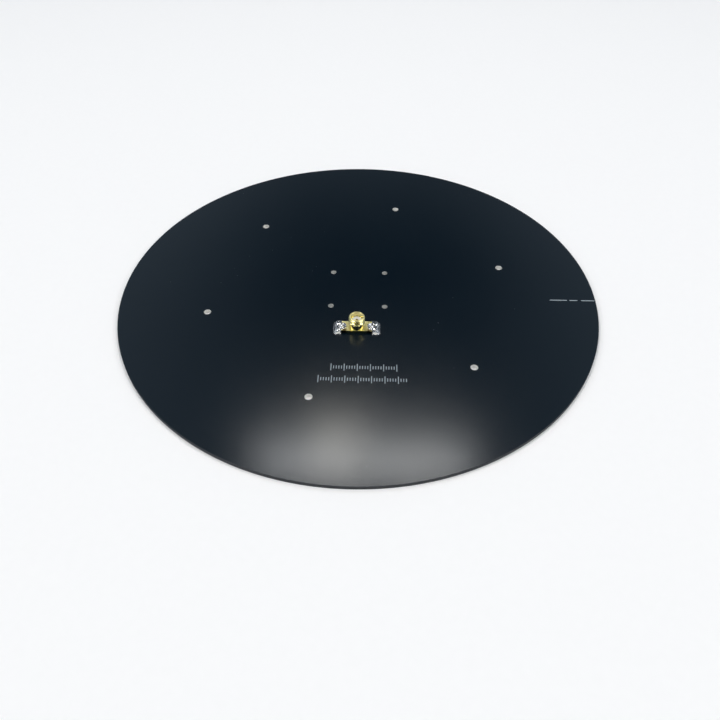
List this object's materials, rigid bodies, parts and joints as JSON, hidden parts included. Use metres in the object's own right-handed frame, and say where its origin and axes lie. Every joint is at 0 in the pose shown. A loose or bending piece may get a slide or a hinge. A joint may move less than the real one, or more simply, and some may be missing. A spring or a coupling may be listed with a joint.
{
  "type": "panel antenna",
  "caption": "Round flat panel antenna on a printed circuit board, with a low threaded coaxial jack soldered off-centre on its back and plain holes for fixing screws.",
  "frame": {"origin": "centre of the outer bolt circle, on the board's front face, the flat side without the jack", "axes": "+Z from the front face through the board to the jack's mouth; the jack is on the -Y side of the centre"},
  "size_m": [0.2, 0.2, 0.0082],
  "materials": {
    "solder_mask": "satin black solder mask on glass-fibre laminate",
    "gold_plate": "bright gold plate on turned brass",
    "white_insulator": "waxy white fluoropolymer",
    "solder": "bright tin solder, slightly frosted"
  },
  "bodies": {
    "root": {"board": "solder_mask", "jack_body": "gold_plate", "jack_insulator": "white_insulator", "jack_contact": "gold_plate", "flange_solder": "solder", "pin_solder": "solder"}
  },
  "joints": []
}
